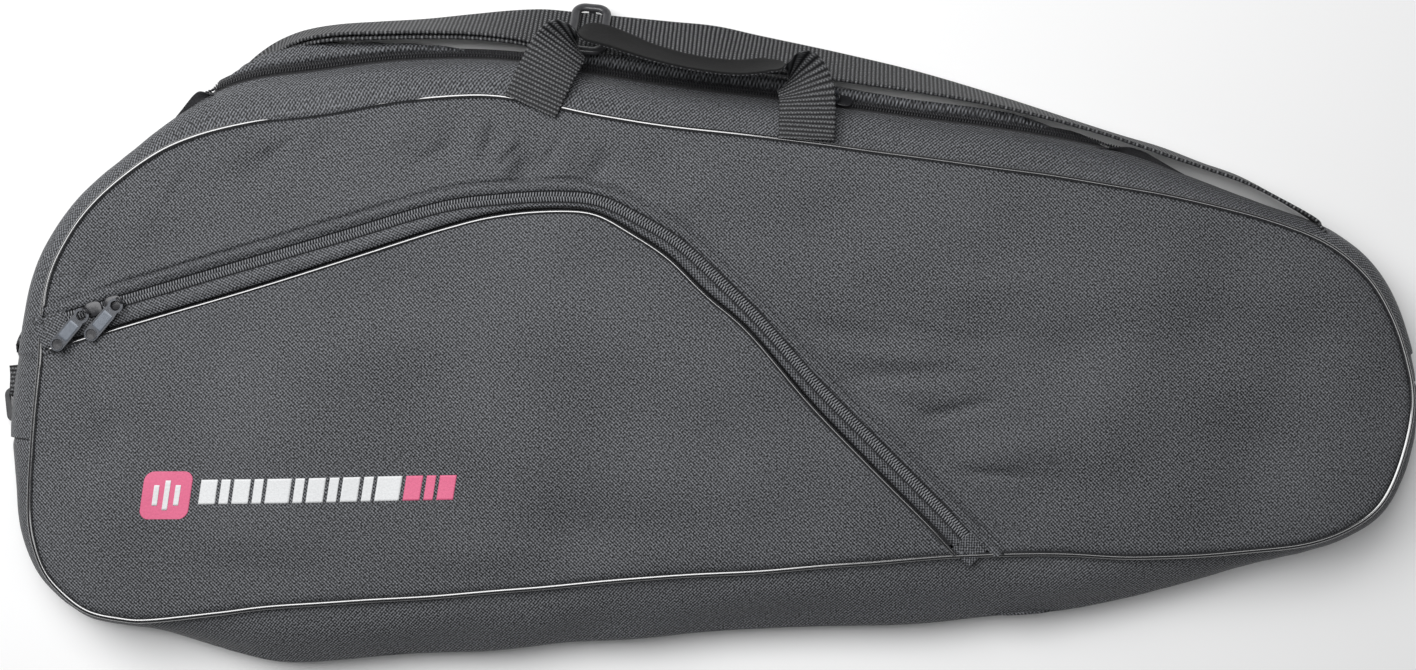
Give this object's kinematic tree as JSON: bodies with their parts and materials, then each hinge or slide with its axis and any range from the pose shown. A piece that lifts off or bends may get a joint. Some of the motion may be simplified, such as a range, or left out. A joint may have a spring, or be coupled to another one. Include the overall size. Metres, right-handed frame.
{
  "type": "racket tournament bag",
  "caption": "Long soft racket bag lying flat: two shaped panels, creased gusset, zipped main and front pockets, carrying handle and adjustable shoulder strap.",
  "frame": {"origin": "on the flat outside of the back panel, near the middle of the bag's length and width", "axes": "+X from the broad shoulder end to the tapered end, +Y towards the edge with the handle and the shoulder strap, +Z out of the front with the pocket"},
  "size_m": [0.7735, 0.3626, 0.0609],
  "materials": {
    "polyester": "woven",
    "lining": "woven",
    "vinyl": "glossy",
    "webbing": "ribbed",
    "coil": "satin",
    "slider": "satin",
    "pull": "satin",
    "acetal": "satin",
    "print": "matte"
  },
  "bodies": {
    "bag": {"back_panel": "polyester", "front_upper_panel": "polyester", "front_pocket_panel": "polyester", "pocket_inner_wall": "lining", "bottom_gusset": "polyester", "zip_gusset_front": "polyester", "zip_gusset_back": "polyester", "front_piping": "vinyl", "back_piping": "vinyl", "front_seam_binding": "lining", "back_seam_binding": "lining", "pocket_zip_upper_tape": "lining", "pocket_zip_lower_tape": "lining", "pocket_zip_chain": "coil", "pocket_zip_welt": "polyester", "pocket_zip_shoulder_patch": "polyester", "pocket_zip_lower_patch": "polyester", "pocket_piping": "vinyl", "main_zip_front_tape": "lining", "main_zip_back_tape": "lining", "main_zip_chain": "coil", "shoulder_strap": "webbing", "shoulder_strap_return": "webbing", "strap_ring": "acetal", "shoulder_strap_turn": "webbing", "ring_tab": "webbing"},
    "pocket_leading": {"pocket_leading_slider": "slider"},
    "pocket_leading_pull": {"pocket_leading_pull_tab": "pull"},
    "pocket_trailing": {"pocket_trailing_slider": "slider"},
    "pocket_trailing_pull": {"pocket_trailing_pull_tab": "pull"},
    "main_zip_slider": {"main_slider": "slider"},
    "main_pull": {"main_pull_tab": "pull"},
    "handle": {"carry_handle": "webbing"},
    "strap_adjuster": {"tri_glide": "acetal"}
  },
  "joints": [
    {"name": "pocket_leading_slide", "type": "slide", "parent": "bag", "child": "pocket_leading", "axis": [0.9598, 0.2788, 0.0322], "range_m": [0, 0.17]},
    {"name": "pocket_leading_pull_hinge", "type": "hinge", "parent": "pocket_leading", "child": "pocket_leading_pull", "pos_m": [-0.32218, 0.03017, 0.04709], "axis": [-0.7597, 0.6501, -0.0177], "range_deg": [0, 150]},
    {"name": "pocket_trailing_slide", "type": "slide", "parent": "bag", "child": "pocket_trailing", "axis": [0.9598, 0.2788, 0.0322], "range_m": [-0.005, 0]},
    {"name": "pocket_trailing_pull_hinge", "type": "hinge", "parent": "pocket_trailing", "child": "pocket_trailing_pull", "pos_m": [-0.34041, 0.02487, 0.04647], "axis": [-0.7597, 0.6501, -0.0177], "range_deg": [0, 150]},
    {"name": "main_zip_slide", "type": "slide", "parent": "bag", "child": "main_zip_slider", "axis": [0.9907, -0.1355, -0.0123], "range_m": [-0.065, 0.025]},
    {"name": "main_pull_hinge", "type": "hinge", "parent": "main_zip_slider", "child": "main_pull", "pos_m": [0.06206, 0.1411, 0.02816], "axis": [0.0961, 0.7602, -0.6425], "range_deg": [0, 110]},
    {"name": "handle_lift", "type": "hinge", "parent": "bag", "child": "handle", "pos_m": [-0.0896, 0.1282, 0.0469], "axis": [0.9954, -0.0963, 0], "range_deg": [0, 130]},
    {"name": "strap_adjuster_slide", "type": "slide", "parent": "bag", "child": "strap_adjuster", "axis": [0.995, -0.0995, 0], "range_m": [0, 0.035]}
  ]
}
